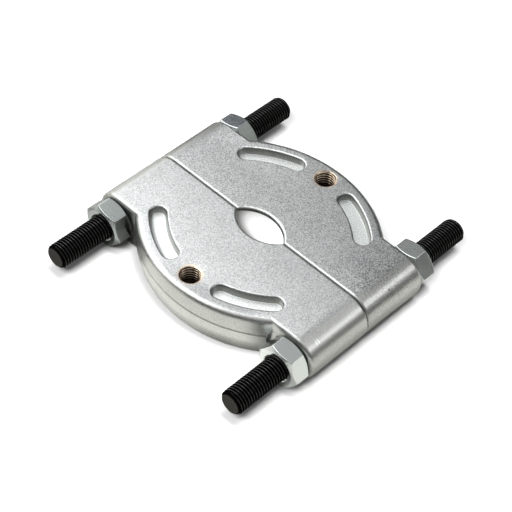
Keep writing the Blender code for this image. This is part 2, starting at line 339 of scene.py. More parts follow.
def lens_cutter(steps=240, lip_steps=10):
    """A revolved tool: wide above, a quarter round for the lip, the land, then a 45 degree cone."""
    top = THICKNESS - LENS_LIP
    foot = top - KNIFE_LAND
    wide = LENS_RADIUS + LENS_LIP
    lip = arc((wide, top), LENS_LIP, math.pi / 2, math.pi, lip_steps)
    profile = np.concatenate([
        [[0.0, THICKNESS + CUT], [wide, THICKNESS + CUT]],
        lip,
        [[LENS_RADIUS, foot], [LENS_RADIUS + foot + CUT, -CUT], [0.0, -CUT]],
    ])
    return revolve("lens_cutter", profile, steps, (0.0, LENS_Y))


print("arcs of the lens: radius", round(LENS_RADIUS, 2), "mm")

# %% [markdown]
# ## The pockets
#
# Two curved pockets save weight on each side of the pull hole. They are pressed by the die, so
# they narrow downwards, with a rounded edge above and a small round at the floor. A slot outline
# that grows or shrinks with the height, ring by ring, gives all of that in one loft.

# %% A tool for a pocket
POCKET_RADIUS = 71.0
POCKET_Y = 14.0
POCKET_WIDTH = 10.2
POCKET_DEPTH = 5.0
POCKET_FLOOR = THICKNESS - POCKET_DEPTH
POCKET_DRAFT = math.tan(math.radians(9))
POCKET_EDGE = 1.3
POCKET_FLOOR_FILLET = 0.4
POCKET_TURNS = (math.radians(17.1), math.radians(43.5))


def pocket_ring(side, widen, z, arc_steps=28, end_steps=18):
    """The slot outline: an outer arc, a round end, an inner arc and a round end, grown by widen."""
    half = POCKET_WIDTH / 2 + widen
    centre = (0.0, POCKET_Y)
    start, end = (-math.pi / 2 + side * turn for turn in POCKET_TURNS)
    first, last = (arc(centre, POCKET_RADIUS, turn, turn, 1)[0] for turn in (start, end))
    half_turn = side * math.pi
    outline = np.concatenate([
        arc(centre, POCKET_RADIUS + half, start, end, arc_steps),
        arc(last, half, end, end + half_turn, end_steps)[1:-1],
        arc(centre, POCKET_RADIUS - half, end, start, arc_steps),
        arc(first, half, start + half_turn, start + 2 * half_turn, end_steps)[1:-1],
    ])
    return np.column_stack([outline, np.full(len(outline), z)])


def pocket_levels(steps=8):
    """(widen, z) pairs from above the plate down a rounded edge, a drafted wall and the floor."""
    turn = np.linspace(0.0, math.pi / 2, steps)
    edge = np.stack([POCKET_EDGE * (1 - np.sin(turn)), THICKNESS - POCKET_EDGE * (1 - np.cos(turn))], -1)
    z = POCKET_FLOOR + POCKET_FLOOR_FILLET * (1 - np.sin(turn))
    slope = POCKET_DRAFT * (THICKNESS - POCKET_EDGE - np.maximum(z, POCKET_FLOOR))
    floor = np.stack([-slope - POCKET_FLOOR_FILLET * (1 - np.cos(turn)), z], -1)
    return np.concatenate([[[POCKET_EDGE, THICKNESS + CUT]], edge, floor])


def pocket_cutter(side):
    """One slot outline for each level, lofted."""
    return skin("pocket_cutter", np.stack([pocket_ring(side, *level) for level in pocket_levels()]))


print("pocket outline:", len(pocket_ring(1, 0.0, 0.0)), "points on", len(pocket_levels()), "levels")

# %% [markdown]
# ## The threads
#
# A screw thread is a ridge that climbs one pitch in each turn. Its radius therefore depends only
# on height / pitch - angle / a full turn, so one formula serves the pull holes and the studs.
# The ridge has flat crests, an eighth of the pitch wide, and flat roots of a quarter.

# %% The radius of a thread
ROOT_FLAT = 0.25
CREST_FLAT = 0.125


def thread_radius(angle, z, minor, major, pitch):
    """Radius of a right-hand thread: a flat-topped triangle wave of z / pitch - angle / 2 pi."""
    phase = (z / pitch - angle / (2 * math.pi)) % 1.0
    wave = np.abs(2 * phase - 1)
    return minor + (major - minor) * np.clip((wave - ROOT_FLAT) / (1 - CREST_FLAT - ROOT_FLAT), 0.0, 1.0)


print("a ridge at 0, 1/4 and 1/2 pitch:", thread_radius(0.0, np.array([0.0, 0.25, 0.5]), 0.0, 1.0, 1.0))

# %% [markdown]
# ## The pull hole
#
# A puller's screw goes into the M14 hole of each half. Cutting it with a screw-shaped tool puts
# the real thread in the steel, which catches the light as bump shading wouldn't. A shallow cone
# opens the hole at both mouths.

# %% A tool for the pull hole
PULL_HOLE_Y = 57.6
PULL_MINOR = 6.1
PULL_MAJOR = 7.05
PULL_PITCH = 2.0
PULL_MOUTH = 7.2
PULL_MOUTH_OVER = 0.6
PULL_CHAMFER_SLOPE = 0.6


def thread_cutter(columns=72, rows_per_turn=10, past_end=0.01):
    """The pull hole's tool: a screw, opened out to a cone at both mouths."""
    z = np.arange(-CUT, THICKNESS + CUT + past_end, PULL_PITCH / rows_per_turn)[:, None]
    angle = (np.arange(columns) * 2 * math.pi / columns)[None, :]
    radius = thread_radius(angle, z, PULL_MINOR, PULL_MAJOR, PULL_PITCH)
    depth = np.minimum(z, THICKNESS - z)
    mouth = PULL_MOUTH - depth / PULL_CHAMFER_SLOPE
    radius = np.maximum(radius, np.minimum(mouth, PULL_MOUTH + PULL_MOUTH_OVER))
    rings = np.stack([
        radius * np.cos(angle),
        -PULL_HOLE_Y + radius * np.sin(angle),
        np.repeat(z, columns, axis=1),
    ], axis=-1)
    return skin("thread_cutter", rings)


print("pull hole:", PULL_MINOR * 2, "to", PULL_MAJOR * 2, "mm")

# %% [markdown]
# ## The bores and the seats of the nuts
#
# The studs pass through plain bores with a chamfered mouth. Where the round plate bulges past
# the lug, a spot facing makes a flat seat for the nut. Bore and spot facing share one axis, so
# one turned tool cuts both; all the tools then cut the half in one go.

# %% Cut the half
BORE_RADIUS = 8.4
BORE_CHAMFER = 0.8
SEAT_RADIUS = 18.5
SEAT_REACH = 40.0


def moved(piece, matrix):
    """Apply a placement to the mesh itself, so that the object stays at the origin."""
    piece.data.transform(matrix)
    return piece


def along_stud(piece, side):
    """Turn a piece made along Z onto -Y and set it on a stud."""
    turn = Matrix.Rotation(math.pi / 2, 4, "X")
    return moved(piece, Matrix.Translation(Vector((side * STUD_X, 0.0, STUD_Z)) * MM) @ turn)


def bore_cutter(side, steps=96):
    """The stud's bore with a chamfered mouth, opened out beyond the lug for the nut."""
    profile = [
        (0.0, LUG_DEPTH + SEAT_REACH), (SEAT_RADIUS, LUG_DEPTH + SEAT_REACH),
        (SEAT_RADIUS, LUG_DEPTH), (BORE_RADIUS + BORE_CHAMFER, LUG_DEPTH),
        (BORE_RADIUS, LUG_DEPTH - BORE_CHAMFER), (BORE_RADIUS, -CUT), (0.0, -CUT),
    ]
    return along_stud(revolve("bore_cutter", profile, steps), side)


cutters = [lens_cutter(), thread_cutter()]
for side in (-1, 1):
    cutters += [pocket_cutter(side), bore_cutter(side)]
near_plate = combined(near_plate, cutters, "DIFFERENCE")
print("cut half:", len(near_plate.data.polygons), "faces")

# %% [markdown]
# ## The burr beside each nut
#
# The spot facing runs into the round wall and rolls up a fine burr there, which draws a bright
# line. The line is where a cylinder meets the wall: for each height both have a formula, so a
# thin tube can follow it. Then the half is shaded smooth, with its clear edges kept sharp.

# %% Add the burrs and shade the half
BURR_Z = (8.0, 25.5)
BURR_RADIUS = 0.32
BURR_SUNK = 0.1
BURR_ENDS = (0.05, 0.95)


def seat_burr(side, rows=14, columns=8):
    """A fine ridge on the edge that the nut's seat cuts in the round wall.

    For each height, x is the seat circle's and y the wall's; the ridge thins out at both ends.
    """
    z = np.linspace(*BURR_Z, rows)[:, None]
    x = STUD_X - np.sqrt(SEAT_RADIUS ** 2 - (z - STUD_Z) ** 2)
    y = PLATE_Y - np.sqrt(wall_radius(z) ** 2 - x ** 2)
    radius = BURR_RADIUS * np.sqrt(np.sin(np.linspace(*BURR_ENDS, rows) * math.pi))[:, None]
    angle = (np.arange(columns) * 2 * math.pi / columns)[None, :]
    rings = np.stack([
        side * (x + radius * np.cos(angle)),
        y + BURR_SUNK + radius * np.sin(angle),
        np.repeat(z, columns, axis=1),
    ], axis=-1)
    return skin("seat_burr", rings)


def smooth(piece, sharp_degrees=32.0, weighted=True):
    """Shade smooth, keep clear edges sharp, and let large faces rule the normals next to them."""
    piece.data.shade_smooth()
    piece.data.set_sharp_from_angle(angle=math.radians(sharp_degrees))
    if weighted:
        weights = piece.modifiers.new("flat_faces", "WEIGHTED_NORMAL")
        weights.keep_sharp = True
    return piece


near_plate = smooth(combined(near_plate, [seat_burr(-1), seat_burr(1)], "UNION"))
print("half with burrs:", len(near_plate.data.polygons), "faces")

# %% [markdown]
# ## Marks that the finish reads
#
# The pockets keep a brighter finish than the ground top, and a material has to know where they
# are. A colour picked by height alone would also paint the round wall, so each vertex carries
# two numbers, pocket and pocket_floor, kept as attributes of the mesh.

# %% Mark the pockets
POCKET_SLACK = 0.2
POCKET_EDGE_Z = THICKNESS - 0.9
FLOOR_SLACK = 0.06
POCKET_BACK_Y = -25.0
HOLE_CLEARANCE = 2.0


def paint(piece, name, values):
    """Keep one number per vertex as an attribute that a material can read."""
    layer = piece.data.attributes.new(name, "FLOAT", "POINT")
    layer.data.foreach_set("value", np.asarray(values, np.float32))


points = np.empty(len(near_plate.data.vertices) * 3, np.float32)
near_plate.data.vertices.foreach_get("co", points)
x, y, z = (points.reshape(-1, 3) / MM).T
from_middle_line = np.abs(np.hypot(x, y - POCKET_Y) - POCKET_RADIUS)
in_pocket = (from_middle_line < POCKET_WIDTH / 2 + POCKET_SLACK) & (z < POCKET_EDGE_Z)
in_pocket &= (z > POCKET_FLOOR - POCKET_SLACK) & (np.abs(x) > PULL_MAJOR + HOLE_CLEARANCE)
in_pocket &= y < POCKET_BACK_Y
on_floor = in_pocket & (z < POCKET_FLOOR + FLOOR_SLACK)
paint(near_plate, "pocket", in_pocket)
paint(near_plate, "pocket_floor", on_floor)
print("vertices in the pockets:", int(in_pocket.sum()), "on their floors:", int(on_floor.sum()))

# %% [markdown]
# ## The far half
#
# Both halves come from the same dies, turned half a turn about the upright axis. A negative
# scale would turn the thread left-handed, so a copy of the mesh is rotated instead.

# %% Copy and turn the half
far_plate = near_plate.copy()
far_plate.data = near_plate.data.copy()
far_plate.name = "far_plate"
bpy.context.scene.collection.objects.link(far_plate)
moved(far_plate, Matrix.Rotation(math.pi, 4, "Z"))
print("finished half:", len(far_plate.data.polygons), "faces")

# %% [markdown]
# ## The threaded studs
#
# The studs are M16 rod, threaded end to end: 2 mm from crest to crest. A texture can't give the
# rod its toothed outline, so the thread is real: its formula gives the radius over the whole
# rod, and the smaller of that radius and a cone's chamfers both ends.

# %% Studs
STUD_LENGTH = 196.0
STUD_MAJOR = 8.0
STUD_MINOR = 6.77
STUD_PITCH = 2.0
STUD_TIP_RADIUS = 6.4
END_FACE_RINGS = (0.3, 0.93)
STUD_SHARP_DEGREES = 60.0


def threaded_stud(name, side, columns=72, rows_per_turn=10):
    """Radius = min(thread, tip cone), on rings from one end of the rod to the other."""
    half = STUD_LENGTH / 2
    rows = int(STUD_LENGTH / STUD_PITCH * rows_per_turn) + 1
    z = np.linspace(-half, half, rows)[:, None]
    angle = (np.arange(columns) * 2 * math.pi / columns)[None, :]
    cone = STUD_TIP_RADIUS + (half - np.abs(z))
    radius = np.minimum(thread_radius(angle, z, STUD_MINOR, STUD_MAJOR, STUD_PITCH), cone)
    end_face = np.array(END_FACE_RINGS)[:, None] * STUD_TIP_RADIUS * np.ones((1, columns))
    radius = np.concatenate([end_face, radius, end_face[::-1]])
    z = np.concatenate([[[-half], [-half]], z, [[half], [half]]])
    rings = np.stack([
        radius * np.cos(angle),
        radius * np.sin(angle),
        np.repeat(z, columns, axis=1),
    ], axis=-1)
    return smooth(along_stud(skin(name, rings), side), STUD_SHARP_DEGREES, weighted=False)


left_rod = threaded_stud("left_rod", -1)
right_rod = threaded_stud("right_rod", 1)
print("stud:", len(left_rod.data.polygons), "faces")

# %% [markdown]
# ## The section of a nut
#
# A hex nut is a hexagonal prism met by two shallow cones, which leave the curved chamfer lines on
# its flats. For each direction round the axis, the hexagon gives a distance; the chamfer starts
# on the face's circle and runs down until it reaches that distance. Real corners are a little
# round, so the hexagon is six half-planes added with a high power, not the largest of them.

# %% Hexagon and rounded section
NUT_FLATS = 27.0
NUT_HEIGHT = 13.0
NUT_FACE_RADIUS = 12.2
NUT_SLOPE = math.tan(math.radians(30))
NUT_BORE = 8.15
NUT_MOUTH = 1.1
NUT_MOUTH_ROUND = (0.3, 0.4)
NUT_EDGE = 0.42
FACE_ROUND_SHARE = 0.3


def hexagon_distance(angle, flats, corner, softness=110):
    """Distance to a hexagon's edge in a direction: half the flats / (sum of cos^p)^(1/p)."""
    flat_centres = corner + math.pi / 6 + np.arange(6)[:, None] * math.pi / 3
    facing = np.maximum(np.cos(angle[None, :] - flat_centres), 0.0)
    return flats / 2 / (facing ** softness).sum(axis=0) ** (1 / softness)


def rounded(before, corner, after, steps=4):
    """Points of a parabola that rounds a corner: (1-t)^2 before + 2t(1-t) corner + t^2 after."""
    share = np.linspace(0.0, 1.0, steps + 1)
    return [tuple((1 - t) ** 2 * p + 2 * t * (1 - t) * q + t ** 2 * r
                  for p, q, r in zip(before, corner, after)) for t in share]


def nut_section(hexagon):
    """(radius, height) rings from the bore over one face to the flats, mirrored for the other."""
    one = np.ones(hexagon.size)
    top = NUT_HEIGHT * one
    shoulder = NUT_HEIGHT - (hexagon - NUT_FACE_RADIUS) * NUT_SLOPE
    back = NUT_EDGE * math.cos(math.atan(NUT_SLOPE))
    onto_cone = FACE_ROUND_SHARE * back
    mouth = NUT_BORE + NUT_MOUTH
    upper = [(NUT_BORE * one, NUT_HEIGHT / 2 * one), (NUT_BORE * one, (NUT_HEIGHT - NUT_MOUTH) * one)]
    upper += rounded(((mouth - NUT_MOUTH_ROUND[0]) * one, top - NUT_MOUTH_ROUND[0]), (mouth * one, top),
                     ((mouth + NUT_MOUTH_ROUND[1]) * one, top), 3)
    upper += rounded(((NUT_FACE_RADIUS - NUT_EDGE) * one, top), (NUT_FACE_RADIUS * one, top),
                     ((NUT_FACE_RADIUS + onto_cone) * one, top - onto_cone * NUT_SLOPE), 3)
    upper += rounded((hexagon - back, shoulder + back * NUT_SLOPE), (hexagon, shoulder),
                     (hexagon, shoulder - NUT_EDGE))
    lower = [(radius, NUT_HEIGHT - z) for radius, z in reversed(upper)]
    return (np.stack(part) for part in zip(*(upper + lower[:-1])))


print("across the corners:", round(2 * float(hexagon_distance(np.zeros(1), NUT_FLATS, 0.0)[0]), 2), "mm")

# %% [markdown]
# ## The four nuts
#
# Nuts stop wherever they are tight, so each is turned by its own angle. The rings of a nut close
# on themselves through the bore, and its columns crowd towards the corners, where the shape
# bends most.

# %% Make and place the nuts
NUT_SEAT = LUG_DEPTH + 0.3
NUT_SHARP_DEGREES = 40.0
NUT_CORNERS = {
    ("near", "left"): 47.1,
    ("near", "right"): 51.4,
    ("far", "left"): 13.3,
    ("far", "right"): 5.1,
}


def hex_nut(name, corner, per_flat=48):
    """Rings from the bore's mouth over one face, the flats and the other face, back to the bore."""
    across = np.linspace(-1.0, 1.0, per_flat, endpoint=False)
    crowded = math.pi / 6 * np.sin(across * math.pi / 2)
    flat_centres = corner + math.pi / 6 + np.arange(6) * math.pi / 3
    angle = (flat_centres[:, None] + crowded[None, :]).ravel()
    radius, z = nut_section(hexagon_distance(angle, NUT_FLATS, corner))
    rings = np.stack([radius * np.cos(angle), radius * np.sin(angle), z], axis=-1)
    return skin(name, np.concatenate([rings, rings[:1]]), capped=False)


def placed_nut(end, side):
    """Set a nut against its lug: made along Z, turned onto the stud, seat towards the lug."""
    end_sign = {"near": -1, "far": 1}[end]
    side_sign = {"left": -1, "right": 1}[side]
    corner = math.radians(NUT_CORNERS[end, side]) * -end_sign
    nut = hex_nut(f"{end}_{side}_hex", corner)
    turn = Matrix.Rotation(-end_sign * math.pi / 2, 4, "X")
    seat = Vector((side_sign * STUD_X, end_sign * NUT_SEAT, STUD_Z)) * MM
    return smooth(moved(nut, Matrix.Translation(seat) @ turn), NUT_SHARP_DEGREES)


nuts = {(end, side): placed_nut(end, side) for end, side in NUT_CORNERS}
print("nut:", len(nuts["near", "left"].data.polygons), "faces")

# %% [markdown]
# ## Building materials from nodes
#
# Colours are picked as sRGB hex values, and shaders want linear light, so one function turns
# them. A material is a tree of nodes. In the editor they are wired by hand; here one function
# adds a node, sets it and links it in one line, which reads like a formula from inside out.

# %% Colours and nodes


def colour(hex_value):
    """sRGB hex to linear RGBA: v / 12.92 below 0.04045, else ((v + 0.055) / 1.055) ^ 2.4."""
    parts = [int(hex_value[i:i + 2], 16) / 255 for i in (1, 3, 5)]
    linear = [v / 12.92 if v <= 0.04045 else ((v + 0.055) / 1.055) ** 2.4 for v in parts]
    return (*linear, 1.0)


def add(tree, kind, *values, **named):
    """Add a shader node, set it and link it.

    Plain values fill the open inputs in order. A name in small letters is one of the node's own
    settings, and one with a capital is an input. A hex string is a colour, and a node given as a
    value is linked by its first open output.
    """
    node = tree.nodes.new("ShaderNode" + kind)
    for name, value in named.items():
        if name[0].islower():
            setattr(node, name, value)
    given = list(zip([socket for socket in node.inputs if socket.enabled], values))
    given += [(node.inputs[name.replace("_", " ")], value)
              for name, value in named.items() if name[0].isupper()]
    for socket, value in given:
        if isinstance(value, bpy.types.Node):
            value = next(output for output in value.outputs if output.enabled)
        if isinstance(value, bpy.types.NodeSocket):
            tree.links.new(value, socket)
        else:
            socket.default_value = colour(value) if isinstance(value, str) else value
    return node


def new_material(name):
    """A material whose tree is empty; returns the material and the tree."""
    made = bpy.data.materials.new(name)
    made.use_nodes = True
    made.node_tree.nodes.clear()
    return made, made.node_tree


def wear(piece, finish):
    """Put one finish on a piece."""
    piece.data.materials.clear()
    piece.data.materials.append(finish)
    return piece


print("mid grey in linear light:", round(colour("#808080")[0], 3))

# %% [markdown]
# ## Masks by place
#
# Wear and making leave tones at certain places, such as along a rim or under a wall. An image
# texture would need unwrapped meshes, so each mark is a mask instead: a distance, such as x or
# the distance from a point, runs from one limit to the other, and a few of those are multiplied.
# Noise gives the rest of the unevenness. Nearly all of it lies between 0.3 and 0.7.

# %% Multiply ranges into a mask
NOISE_LOW = 0.3
NOISE_HIGH = 0.7


def mask(tree, at, *limits):
    """The product of numbers that depend on the place.

    A limit is the name of a number in at, or (name, start, end, first, last): it goes from first
    to last as the named distance goes from start to end in millimetres, with soft ends if the
    word soft follows.
    """
    level = 1.0
    for limit in limits:
        if isinstance(limit, str):
            share = at[limit]
        else:
            name, start, end, first, last, *soft = limit
            course = "SMOOTHSTEP" if soft else "LINEAR"
            share = add(tree, "MapRange", at[name], start * MM, end * MM, first, last,
                        interpolation_type=course)
        level = add(tree, "Math", level, share, operation="MULTIPLY")
    return level


print("noise is read from", NOISE_LOW, "to", NOISE_HIGH)

# %% [markdown]
# ## Where a point of the plate is
#
# All tones of the plates are laid out by place: height, distance from the round plate's centre,
# from the pull hole or from the seam that the dies left. They are worked out once, by name, so
# that each tone below can ask for what it needs. The seam wanders up and down a little, as a
# trimmed flash does, which a slow noise added to the height gives.

# %% Distances on the plate
SEAM_Z = PARTING_Z + 0.3
SEAM_SWAY = 1.6
SEAM_WAVE = 9.0
PAST_BAR_Y = LUG_DEPTH + 0.1
TOP_FROM_Z = (THICKNESS - 0.9, THICKNESS - 0.05)
FLOOR_SHARE = 0.45
PIT_MM = (84.7, 21.75, 27.9)
NICKS_Y = (-39.0, -37.4)


def plate_places(tree):
    """Named numbers at a point: distances in metres, and masks from 0 to 1."""
    where = add(tree, "TexCoord").outputs["Object"]
    x, y, z = add(tree, "SeparateXYZ", where).outputs
    at = {"where": where, "x": x, "y": y, "z": z}
    at["aside"] = add(tree, "Math", x, operation="ABSOLUTE")
    at["across"] = add(tree, "Math", y, operation="ABSOLUTE")
    off_hole = add(tree, "Math", at["across"], PULL_HOLE_Y * MM, operation="SUBTRACT")
    from_hole = add(tree, "CombineXYZ", x, off_hole)
    at["from_hole"] = add(tree, "VectorMath", from_hole, operation="LENGTH")
    centre = Vector((0.0, PLATE_Y, THICKNESS)) * MM
    at["from_centre"] = add(tree, "VectorMath", where, centre, operation="DISTANCE")
    at["from_pit"] = add(tree, "VectorMath", where, Vector(PIT_MM) * MM, operation="DISTANCE")
    first, second = (add(tree, "Math", add(tree, "Math", y, nick * MM, operation="SUBTRACT"),
                         operation="ABSOLUTE") for nick in NICKS_Y)
    at["from_nick"] = add(tree, "Math", first, second, operation="MINIMUM")
    sway = add(tree, "TexNoise", where, Scale=1 / (SEAM_WAVE * MM))
    swaying = add(tree, "Math", sway, SEAM_SWAY * MM, z, operation="MULTIPLY_ADD")
    off_seam = add(tree, "Math", swaying, SEAM_Z * MM, operation="SUBTRACT")
    at["from_seam"] = add(tree, "Math", off_seam, operation="ABSOLUTE")
    at["past_bar"] = add(tree, "Math", at["across"], PAST_BAR_Y * MM, operation="GREATER_THAN")
    for name in ("pocket", "pocket_floor"):
        at[name] = add(tree, "Attribute", attribute_name=name).outputs["Fac"]
    at["top"] = mask(tree, at, ("z", *TOP_FROM_Z, 0.0, 1.0, "soft"))
    at["ground"] = add(tree, "Math", at["pocket_floor"], FLOOR_SHARE, at["top"], operation="MULTIPLY_ADD")
    return at


print("the top starts", THICKNESS - TOP_FROM_Z[0], "mm down, over the rounded rim")

# %% [markdown]
# ## Tones of the plate
#
# The ground top is greyer than the forged wall, the floors of the pockets are the brightest and
# their drafted walls darken upwards. In the pull hole the cut thread is bare: brassy crests, with
# painted shade that blackens the roots and darkens the depth, and a painted highlight that makes
# the chamfer at the mouth pale. A thin dark seam shows where the dies met. Each of these is one
# colour mixed over the one before, by a mask.

# %% Colours by place
POCKET_WALL_LOW, POCKET_WALL_HIGH = "#a9aaa6", "#7f807c"
# The root colour is painted shade for the thread's roots and the hole's depth, and the mouth colour is a
# painted highlight on the chamfer.
THREAD_CREST, ROOT_AND_DEPTH_SHADE, MOUTH_HIGHLIGHT = "#e6d0b6", "#0a0705", "#bfb1a1"
SEAM_TONE = "#3a3835"
UP_THE_WALL = ("z", POCKET_FLOOR, THICKNESS - 1.0, 0.0, 1.0)
DOWN_THE_HOLE = ("z", THICKNESS - 3, THICKNESS - 11, 0.0, 0.97)
IN_THE_ROOTS = ("from_hole", PULL_MINOR + 0.08, PULL_MINOR + 0.32, 0.0, 1.0, "soft")
AT_THE_MOUTH = ("z", THICKNESS - 0.8, THICKNESS - 0.55, 0.0, 1.0)
BARE_STEEL = ("from_hole", PULL_MOUTH + 0.05, PULL_MOUTH + 1.1, 1.0, 0.0, "soft")
ON_THE_SEAM = ("from_seam", 0.15, 0.6, 0.85, 0.0, "soft")


def mixed(tree, tone, *layers):
    """Each (mask, colour) pair is laid over the tone so far."""
    for share, layer in layers:
        tone = add(tree, "Mix", share, tone, layer, data_type="RGBA")
    return tone


def plate_tones(tree, at, top_hex, forged_hex, floor_hex):
    """Forged skin, then the ground top, the pockets, the pull hole and the seam over it."""
    pocket = mixed(tree, POCKET_WALL_LOW, (mask(tree, at, UP_THE_WALL), POCKET_WALL_HIGH),
                   (at["pocket_floor"], floor_hex))
    # Painted shade down the hole and in the roots, and a painted highlight at the mouth.
    hole = mixed(tree, THREAD_CREST, (mask(tree, at, DOWN_THE_HOLE), ROOT_AND_DEPTH_SHADE),
                 (mask(tree, at, IN_THE_ROOTS), ROOT_AND_DEPTH_SHADE), (mask(tree, at, AT_THE_MOUTH), MOUTH_HIGHLIGHT))
    return mixed(tree, forged_hex, (at["top"], top_hex), (at["pocket"], pocket),
                 (mask(tree, at, BARE_STEEL), hole), (mask(tree, at, ON_THE_SEAM, "past_bar"), SEAM_TONE))


print("tones of the pull hole:", THREAD_CREST, ROOT_AND_DEPTH_SHADE, MOUTH_HIGHLIGHT)

# %% [markdown]
# ## Marks of wear, painted light and painted shade
#
# No worn forging is one even grey. The top is darker along the front rim, and one corner has a pit
# and two bright nicks. The other rows are painted light and shade: painted shade in the corners
# beside the nuts, towards the far half's right end, on the lug's front edge, on the left pocket's
# floor next to its outer wall and past the shoulder of the round end, and painted light on the far
# left and on the shoulder. Each row below is one mark: how much darker it makes the metal, and
# where. A negative number makes it brighter.

# %% Table of marks
WEAR_MARKS = {
    "darker along the front rim": [
        ("from_centre", 70, 79, 0.0, 1.0, "soft"), ("x", -32, 8, 0.0, 1.0, "soft"),
        ("x", 40, 52, 1.0, 0.0), ("y", -20, -40, 0.0, 0.30), "top"],
    # Painted shade in the corners of the wall beside the nuts.
    "painted shade beside the nuts": [
        ("aside", 42, 56, 0.0, 0.42, "soft"), ("z", 25, 29, 1.0, 0.0), "past_bar"],
    # Painted shade towards the far half's right end.
    "painted shade at the right end": [
        ("x", 40, 76, 0.0, 0.28), ("y", 4, 22, 0.0, 1.0), ("z", 30.0, 31.3, 0.15, 1.0)],
    # Painted light on the far half's top towards its left.
    "painted light on the far left": [
        ("y", 26, 40, 0.0, -0.22, "soft"), ("x", 20, -40, 0.0, 1.0), "ground"],
    # Painted shade on the lug's front edge, which dims its highlight.
    "painted shade on the front edge": [
        ("y", -45.8, -46.8, 0.0, 0.5), ("x", 60, 64, 0.0, 1.0), ("z", 28, 30, 0.0, 1.0)],
    "pit": [("from_pit", 0.5, 1.1, 0.6, 0.0)],
    "nicks": [
        ("from_nick", 0.15, 0.5, -0.45, 0.0), ("x", 81.4, 81.8, 0.0, 1.0),
        ("x", 84.2, 84.6, 1.0, 0.0), ("z", 20, 21, 0.0, 1.0)],
    # Painted shade on the left pocket's floor next to its outer wall.
    "painted shade on the left pocket's floor": [
        ("from_centre", 75.7, 77.0, 0.0, 0.55), ("x", -10, -14, 0.0, 1.0),
        ("y", 0, -5, 0.0, 1.0), "pocket_floor"],
    # Painted highlight on the shoulder of the round end, and painted shade past it.
    "painted highlight on the shoulder": [
        ("x", 75.0, 80.5, 0.0, -0.2), ("z", 28.2, 29.2, 0.0, 1.0), ("y", -1, -3, 0.0, 1.0)],
    "shade past the shoulder": [
        ("x", 80.8, 83.0, 0.0, 0.28), ("z", 28.2, 29.2, 0.0, 1.0), ("y", -1, -3, 0.0, 1.0)],
}
COARSER_END = [("x", 50, 80, 0.0, 0.6), ("y", 0, 6, 0.0, 1.0)]


def kept_light(tree, at):
    """1 less the sum of all marks."""
    kept = 1.0
    for limits in WEAR_MARKS.values():
        kept = add(tree, "Math", kept, mask(tree, at, *limits), operation="SUBTRACT")
    return kept


print("marks:", len(WEAR_MARKS))

# %% [markdown]
# ## Blasted and zinc-plated forged steel
#
# Drop-forged steel is blasted clean and then zinc plated. The blast leaves pits a few tenths of a
# millimetre wide, which scatter the light to a soft satin grey. Grit of its true size would be
# finer than a pixel, so the grain is drawn coarser, at 0.75 mm, to show in the picture. It
# speckles the colour, and a weak bump makes it catch the light.

# %% Plate finish
GRIT_MM = 0.75
GRIT_ROUGHNESS = 0.6
SPECKLE = (-1.0, 0.85)
CLOUD_MM = 14
CLOUD = (0.96, 1.03)
SATIN = (0.28, 0.36)
FLOOR_SATIN = 0.55
BUMP_MM = 0.05
BUMP_STRENGTH = 0.25


def plate_zinc(name, top_hex, forged_hex, floor_hex, grain):
    """Colour = tone x (1 + speckle x grain) x cloud x (1 - marks of wear and of painted light and shade),
    a satin metal.
    """
    made, tree = new_material(name)
    at = plate_places(tree)
    tone = plate_tones(tree, at, top_hex, forged_hex, floor_hex)
    grit = add(tree, "TexNoise", at["where"], Scale=1 / (GRIT_MM * MM), Roughness=GRIT_ROUGHNESS)
    cloud = add(tree, "TexNoise", at["where"], Scale=1 / (CLOUD_MM * MM))
    clouded = add(tree, "MapRange", cloud, NOISE_LOW, NOISE_HIGH, *CLOUD)

    strength = add(tree, "MapRange", at["ground"], To_Min=grain / 2, To_Max=grain)
    coarser = add(tree, "Math", mask(tree, at, *COARSER_END), 1.0, operation="ADD")
    strength = add(tree, "Math", strength, coarser, operation="MULTIPLY")
    speckle = add(tree, "MapRange", grit, NOISE_LOW, NOISE_HIGH, *SPECKLE)
    shade = add(tree, "Math", speckle, strength, 1.0, operation="MULTIPLY_ADD")
    for factor in (clouded, kept_light(tree, at)):
        shade = add(tree, "Math", shade, factor, operation="MULTIPLY")

    # Zinc over blasted steel: metallic, satin, and rougher on the pockets' floors. To the eye it
    # is a soft grey with a fine sparkle that brightens towards the light without a clear mirror.
    satin = add(tree, "MapRange", grit, NOISE_LOW, NOISE_HIGH, *SATIN)
    shader = add(
        tree, "BsdfPrincipled",
        Base_Color=add(tree, "VectorMath", tone, Scale=shade, operation="SCALE"),
        Metallic=1.0,
        Roughness=add(tree, "Mix", at["pocket_floor"], satin, FLOOR_SATIN, data_type="FLOAT"),
        Normal=add(tree, "Bump", Strength=BUMP_STRENGTH, Distance=BUMP_MM * MM, Height=grit),
    )
    add(tree, "OutputMaterial", Surface=shader)
    return made


# The far half's colours are darker copies of the near half's: painted shade.
near_zinc = plate_zinc("near_forging_zinc", "#acaeae", "#b2b3b0", "#d9dddc", 0.40)
far_shaded_zinc = plate_zinc("far_forging_shaded_zinc", "#a8aaaa", "#acadaa", "#c6cac9", 0.52)
wear(near_plate, near_zinc)
wear(far_plate, far_shaded_zinc)
print("plate finish:", len(near_zinc.node_tree.nodes), "nodes")

# %% [markdown]
# ## Black oxide on the studs
#
# The rods are blackened and oiled: a very dark skin a micrometre thick. The nuts have polished
# the thread crests, so each draws a fine grey line of light, while the dry grooves between them
# stay rough and black. The sawn ends are a little paler. The distance from the rod's axis tells
# crest from groove, so one material serves both rods.

# %% Stud finish
CREST_FROM = (STUD_MAJOR - 0.15, STUD_MAJOR - 0.02)
SAWN_FROM = (STUD_LENGTH / 2 - 0.1, STUD_LENGTH / 2 - 0.02)
MOTTLE_MM = 2.5
OILED = (0.16, 0.24)
DRY_ROUGHNESS = 0.9
SHEEN = (0.02, 0.65)
GROOVE_TONE, CREST_TONE, SAWN_TONE = "#010101", "#161615", "#2b2a27"


